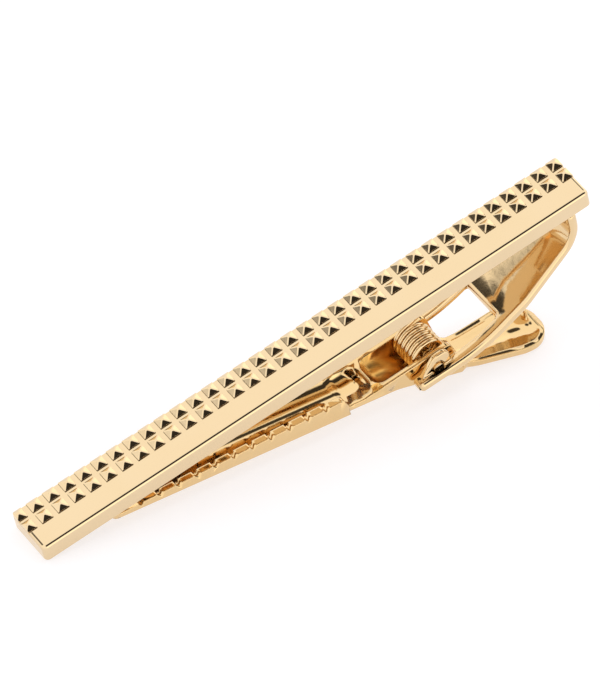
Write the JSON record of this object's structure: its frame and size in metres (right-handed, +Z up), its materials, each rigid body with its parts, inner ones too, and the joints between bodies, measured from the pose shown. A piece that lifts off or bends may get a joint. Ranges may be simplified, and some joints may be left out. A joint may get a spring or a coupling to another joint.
{
  "type": "tie clip",
  "caption": "Gold tie clip: a flat bar with a polished band and rows of square studs, over a sprung toothed lever that hinges on a forked hook bracket and grips a tie.",
  "frame": {"origin": "on the table under the middle of the clip's box, as the clip lies: on the lower edge of the bar's left end and on the thumb pad", "axes": "+X along the clip's length towards the hinge and the thumb pad, +Y to the bar's studded back, +Z up from the table"},
  "size_m": [0.057, 0.0074, 0.0179],
  "materials": {
    "polished_gold": "polished gold plate",
    "spring_wire": "polished gold plate on spring wire"
  },
  "bodies": {
    "lever": {"clip_lever": "polished_gold", "torsion_spring": "spring_wire"},
    "bar": {"front_bar": "polished_gold", "hinge_bracket": "polished_gold", "hinge_pin": "polished_gold"}
  },
  "joints": [
    {"name": "clip_hinge", "type": "hinge", "parent": "lever", "child": "bar", "pos_m": [0.01287, 0, 0.00381], "axis": [0, 1, 0], "range_deg": [0, 25], "stiffness_Nm_per_rad": 0.13, "springref_deg": -51.57, "deforming": ["torsion_spring"]}
  ]
}
